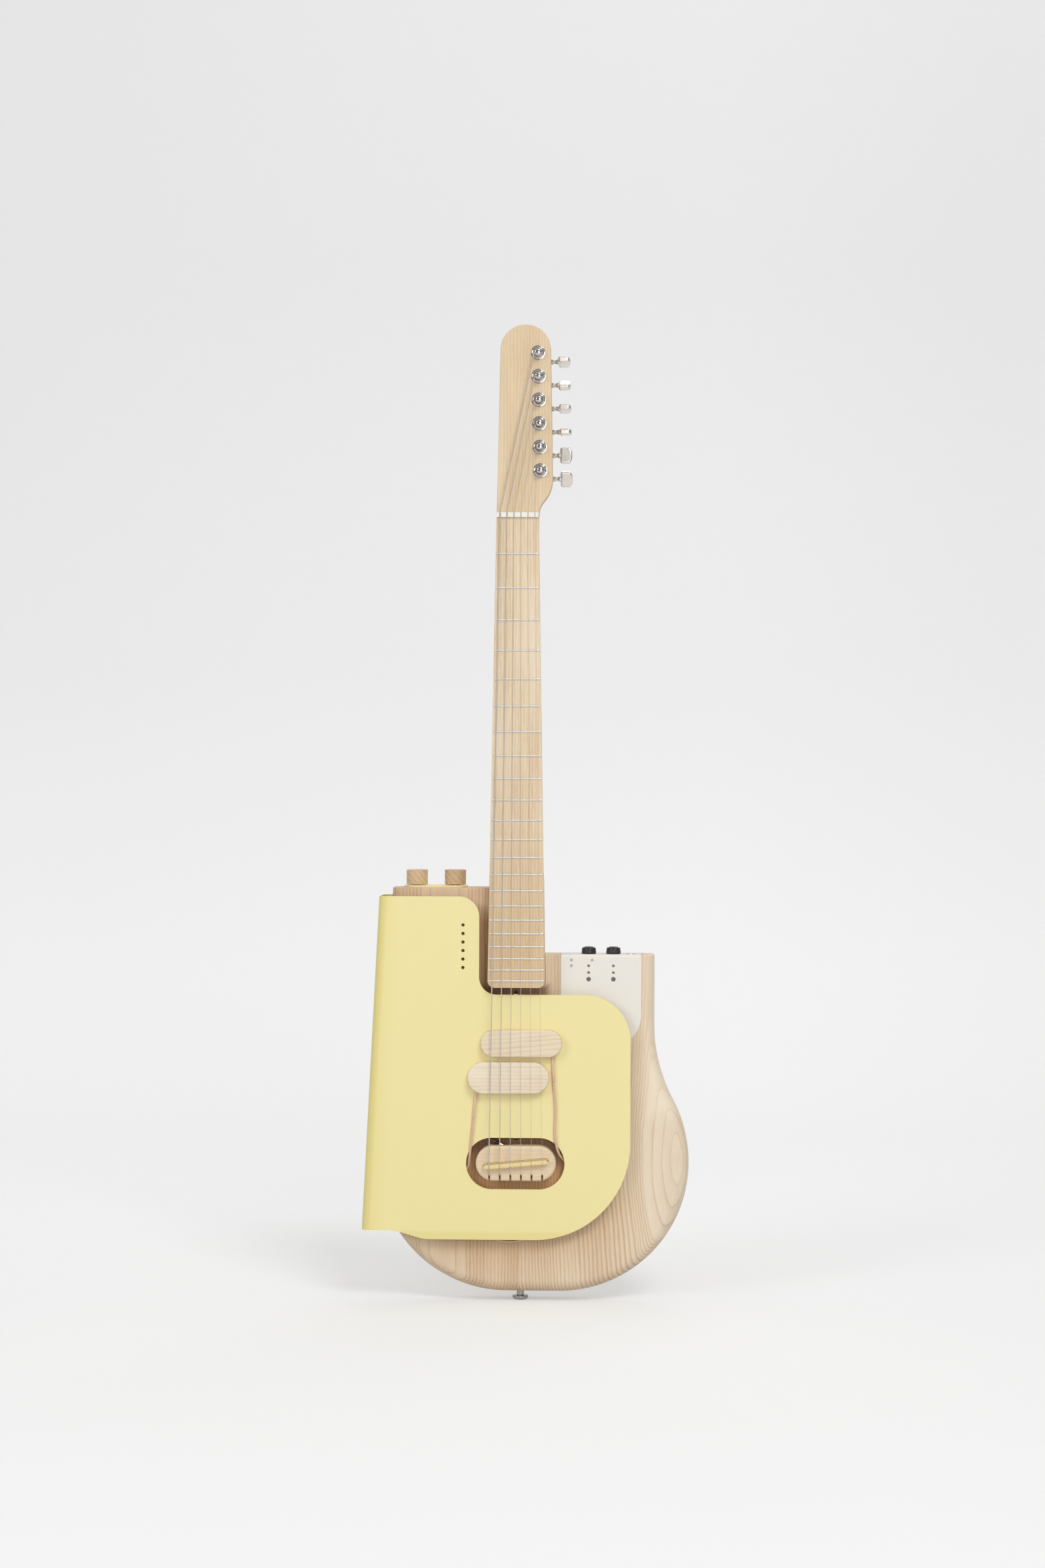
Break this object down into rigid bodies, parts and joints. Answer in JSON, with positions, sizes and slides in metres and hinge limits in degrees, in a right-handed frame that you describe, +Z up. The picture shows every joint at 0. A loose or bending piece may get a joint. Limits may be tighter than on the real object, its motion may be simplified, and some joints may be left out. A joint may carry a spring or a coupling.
{
  "type": "travel guitar",
  "caption": "Solid electric travel guitar: wood body in a folded yellow sheet, bolt-on neck, sliding pickups, wood tailpiece with brass saddle and a built-in control panel.",
  "frame": {"origin": "centre of the end pin's flat bottom face, under the glue line of the body", "axes": "+Z up the neck towards the headstock, +X to the right seen from the front, front with strings faces -Y"},
  "size_m": [0.3311, 0.0693, 0.9883],
  "materials": {
    "ash": "satin oiled wood",
    "maple": "satin lacquered wood",
    "pale_wood": "smooth bare wood",
    "yellow_sheet": "satin powder coat",
    "white_sheet": "satin powder coat",
    "black_plastic": "fine matte texture",
    "grey_plastic": "matte",
    "brass": "polished",
    "chrome": "mirror bright",
    "steel": "satin",
    "nickel": "bright",
    "nut_white": "semi-matte",
    "cable": "smooth flexible jacket",
    "board": "satin resin"
  },
  "bodies": {
    "guitar": {"body_left_half": "ash", "body_right_half": "ash", "neck": "maple", "fretboard": "maple", "nut": "nut_white", "tailpiece_block": "pale_wood", "saddle_bar": "brass", "string_anchor_bar": "brass", "bent_shell": "yellow_sheet", "neck_pickup_cable": "cable", "bridge_pickup_cable": "cable", "pickup_plug": "black_plastic", "pickup_socket": "black_plastic", "knob_plate": "yellow_sheet", "control_pots": "steel", "neck_plate": "steel", "control_panel": "white_sheet", "output_jack": "steel", "circuit_board": "board", "end_pin": "steel", "string_1": "nickel", "tuner_1_housing": "chrome", "tuner_1_bushing": "chrome", "string_2": "nickel", "tuner_2_housing": "chrome", "tuner_2_bushing": "chrome", "string_3": "nickel", "tuner_3_housing": "chrome", "tuner_3_bushing": "chrome", "string_4": "nickel", "tuner_4_housing": "chrome", "tuner_4_bushing": "chrome", "string_5": "nickel", "tuner_5_housing": "chrome", "tuner_5_bushing": "chrome", "string_6": "nickel", "tuner_6_housing": "chrome", "tuner_6_bushing": "chrome"},
    "volume_knob": {"volume_knob": "pale_wood"},
    "tone_knob": {"tone_knob": "pale_wood"},
    "left_panel_knob": {"left_panel_knob": "black_plastic"},
    "right_panel_knob": {"right_panel_knob": "black_plastic"},
    "left_push_button": {"left_push_button": "grey_plastic"},
    "right_push_button": {"right_push_button": "grey_plastic"},
    "neck_pickup": {"neck_pickup_cover": "pale_wood", "neck_pickup_base": "black_plastic"},
    "bridge_pickup": {"bridge_pickup_cover": "pale_wood", "bridge_pickup_base": "black_plastic"},
    "tuner_1_button": {"tuner_1_button": "nickel"},
    "tuner_1_post": {"tuner_1_post": "chrome"},
    "tuner_2_button": {"tuner_2_button": "nickel"},
    "tuner_2_post": {"tuner_2_post": "chrome"},
    "tuner_3_button": {"tuner_3_button": "nickel"},
    "tuner_3_post": {"tuner_3_post": "chrome"},
    "tuner_4_button": {"tuner_4_button": "nickel"},
    "tuner_4_post": {"tuner_4_post": "chrome"},
    "tuner_5_button": {"tuner_5_button": "nickel"},
    "tuner_5_post": {"tuner_5_post": "chrome"},
    "tuner_6_button": {"tuner_6_button": "nickel"},
    "tuner_6_post": {"tuner_6_post": "chrome"}
  },
  "joints": [
    {"name": "tuner_1_button_turn", "type": "hinge", "parent": "guitar", "child": "tuner_1_button", "pos_m": [0.0161, -0.015, 0.9531], "axis": [1, 0, 0], "continuous": true},
    {"name": "tuner_1_post_turn", "type": "hinge", "parent": "guitar", "child": "tuner_1_post", "pos_m": [0.0161, -0.035, 0.9596], "axis": [0, 1, 0], "continuous": true},
    {"name": "tuner_2_button_turn", "type": "hinge", "parent": "guitar", "child": "tuner_2_button", "pos_m": [0.01662, -0.015, 0.92934], "axis": [1, 0, 0], "continuous": true},
    {"name": "tuner_2_post_turn", "type": "hinge", "parent": "guitar", "child": "tuner_2_post", "pos_m": [0.01662, -0.035, 0.93584], "axis": [0, 1, 0], "continuous": true},
    {"name": "tuner_3_button_turn", "type": "hinge", "parent": "guitar", "child": "tuner_3_button", "pos_m": [0.01714, -0.015, 0.90558], "axis": [1, 0, 0], "continuous": true},
    {"name": "tuner_3_post_turn", "type": "hinge", "parent": "guitar", "child": "tuner_3_post", "pos_m": [0.01714, -0.035, 0.91208], "axis": [0, 1, 0], "continuous": true},
    {"name": "tuner_4_button_turn", "type": "hinge", "parent": "guitar", "child": "tuner_4_button", "pos_m": [0.01766, -0.015, 0.88182], "axis": [1, 0, 0], "continuous": true},
    {"name": "tuner_4_post_turn", "type": "hinge", "parent": "guitar", "child": "tuner_4_post", "pos_m": [0.01766, -0.035, 0.88832], "axis": [0, 1, 0], "continuous": true},
    {"name": "tuner_5_button_turn", "type": "hinge", "parent": "guitar", "child": "tuner_5_button", "pos_m": [0.01818, -0.015, 0.85806], "axis": [1, 0, 0], "continuous": true},
    {"name": "tuner_5_post_turn", "type": "hinge", "parent": "guitar", "child": "tuner_5_post", "pos_m": [0.01818, -0.035, 0.86456], "axis": [0, 1, 0], "continuous": true},
    {"name": "tuner_6_button_turn", "type": "hinge", "parent": "guitar", "child": "tuner_6_button", "pos_m": [0.0187, -0.015, 0.8343], "axis": [1, 0, 0], "continuous": true},
    {"name": "tuner_6_post_turn", "type": "hinge", "parent": "guitar", "child": "tuner_6_post", "pos_m": [0.0187, -0.035, 0.8408], "axis": [0, 1, 0], "continuous": true},
    {"name": "volume_knob_turn", "type": "hinge", "parent": "guitar", "child": "volume_knob", "pos_m": [-0.1066, 0, 0.4218], "axis": [0, 0, 1], "range_deg": [-150, 150]},
    {"name": "tone_knob_turn", "type": "hinge", "parent": "guitar", "child": "tone_knob", "pos_m": [-0.0676, 0, 0.4218], "axis": [0, 0, 1], "range_deg": [-150, 150]},
    {"name": "left_panel_knob_turn", "type": "hinge", "parent": "guitar", "child": "left_panel_knob", "pos_m": [0.0689, -0.003, 0.3525], "axis": [0, 0, 1], "range_deg": [-150, 150]},
    {"name": "right_panel_knob_turn", "type": "hinge", "parent": "guitar", "child": "right_panel_knob", "pos_m": [0.0939, -0.003, 0.3525], "axis": [0, 0, 1], "range_deg": [-150, 150]},
    {"name": "left_push_button_press", "type": "slide", "parent": "guitar", "child": "left_push_button", "axis": [0, 1, 0], "range_m": [0, 0.0006], "stiffness_N_per_m": 400, "springref_m": -0.001},
    {"name": "right_push_button_press", "type": "slide", "parent": "guitar", "child": "right_push_button", "axis": [0, 1, 0], "range_m": [0, 0.0006], "stiffness_N_per_m": 400, "springref_m": -0.001},
    {"name": "neck_pickup_slide", "type": "slide", "parent": "guitar", "child": "neck_pickup", "axis": [0, 0, 1], "range_m": [-0.002, 0.032], "deforming": ["neck_pickup_cable"]},
    {"name": "bridge_pickup_slide", "type": "slide", "parent": "guitar", "child": "bridge_pickup", "axis": [0, 0, 1], "range_m": [-0.04, 0.002], "deforming": ["bridge_pickup_cable"]}
  ],
  "couplings": [
    {"joint": "tuner_1_post_turn", "follows": "tuner_1_button_turn", "ratio": 0.0714},
    {"joint": "tuner_2_post_turn", "follows": "tuner_2_button_turn", "ratio": 0.0714},
    {"joint": "tuner_3_post_turn", "follows": "tuner_3_button_turn", "ratio": 0.0714},
    {"joint": "tuner_4_post_turn", "follows": "tuner_4_button_turn", "ratio": 0.0714},
    {"joint": "tuner_5_post_turn", "follows": "tuner_5_button_turn", "ratio": 0.0714},
    {"joint": "tuner_6_post_turn", "follows": "tuner_6_button_turn", "ratio": 0.0714}
  ]
}
